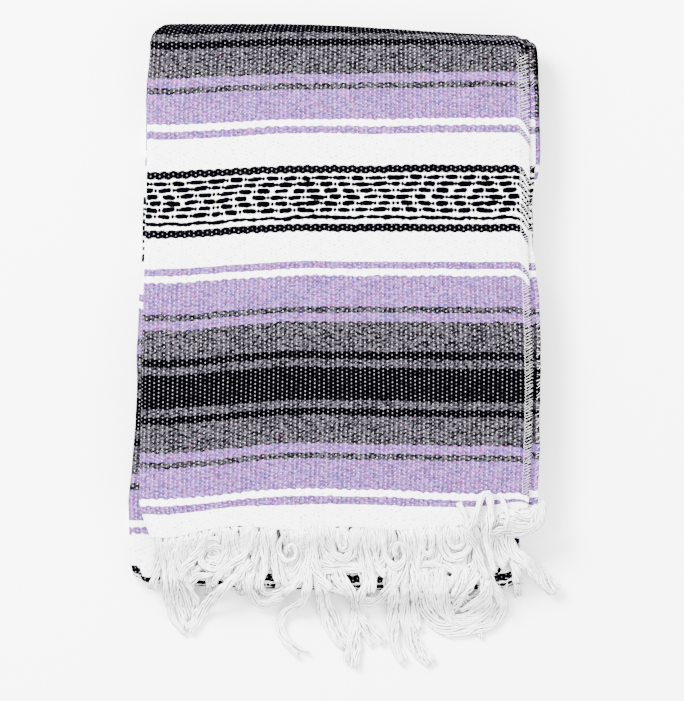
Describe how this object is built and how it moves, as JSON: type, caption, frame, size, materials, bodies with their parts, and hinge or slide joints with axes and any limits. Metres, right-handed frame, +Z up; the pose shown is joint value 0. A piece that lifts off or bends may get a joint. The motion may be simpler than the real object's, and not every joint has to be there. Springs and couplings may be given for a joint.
{
  "type": "folded mexican falsa blanket",
  "caption": "Striped woven blanket folded flat into a thick pad, with serged edges at one side and knotted fringe hanging over its near end.",
  "frame": {"origin": "centre of the whole part seen from above, on the surface that the blanket lies on", "axes": "+X to the right of the front panel, towards its serged edge, +Y from the fringe to the thick far fold, +Z up through the layers"},
  "size_m": [0.3541, 0.5282, 0.0428],
  "materials": {
    "striped_cloth": "matte",
    "hidden_layers": "matte",
    "fringe_front_cotton": "matte",
    "fringe_low_cotton": "matte"
  },
  "bodies": {
    "root": {"outer_ply": "striped_cloth", "pile": "hidden_layers", "fringe_front": "fringe_front_cotton", "fringe_low": "fringe_low_cotton"}
  },
  "joints": []
}
